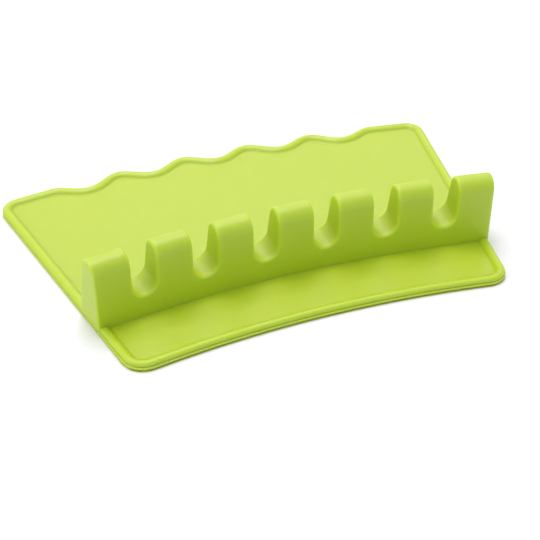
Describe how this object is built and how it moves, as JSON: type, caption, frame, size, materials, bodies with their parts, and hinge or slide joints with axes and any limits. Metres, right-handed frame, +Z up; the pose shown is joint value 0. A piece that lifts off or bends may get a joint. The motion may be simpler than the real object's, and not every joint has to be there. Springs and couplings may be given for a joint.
{
  "type": "spoon rest",
  "caption": "Fan-shaped silicone rest for kitchen tools: a slotted ridge holds the handles, a front ledge and a rimmed rear tray with a scalloped edge catch drips.",
  "frame": {"origin": "on the table, under the middle of the rest's box", "axes": "+X to the right along the ridge, +Y to the back, from the front ledge to the drip tray, +Z up"},
  "size_m": [0.2818, 0.1906, 0.0435],
  "materials": {
    "silicone": "matte moulded silicone, lime green"
  },
  "bodies": {
    "root": {"drip_tray": "silicone", "front_ledge": "silicone", "tray_rim": "silicone", "ledge_rim": "silicone", "cradle_bar": "silicone", "divider_1": "silicone", "divider_2": "silicone", "divider_3": "silicone", "divider_4": "silicone", "divider_5": "silicone", "divider_6": "silicone", "divider_7": "silicone"}
  },
  "joints": []
}
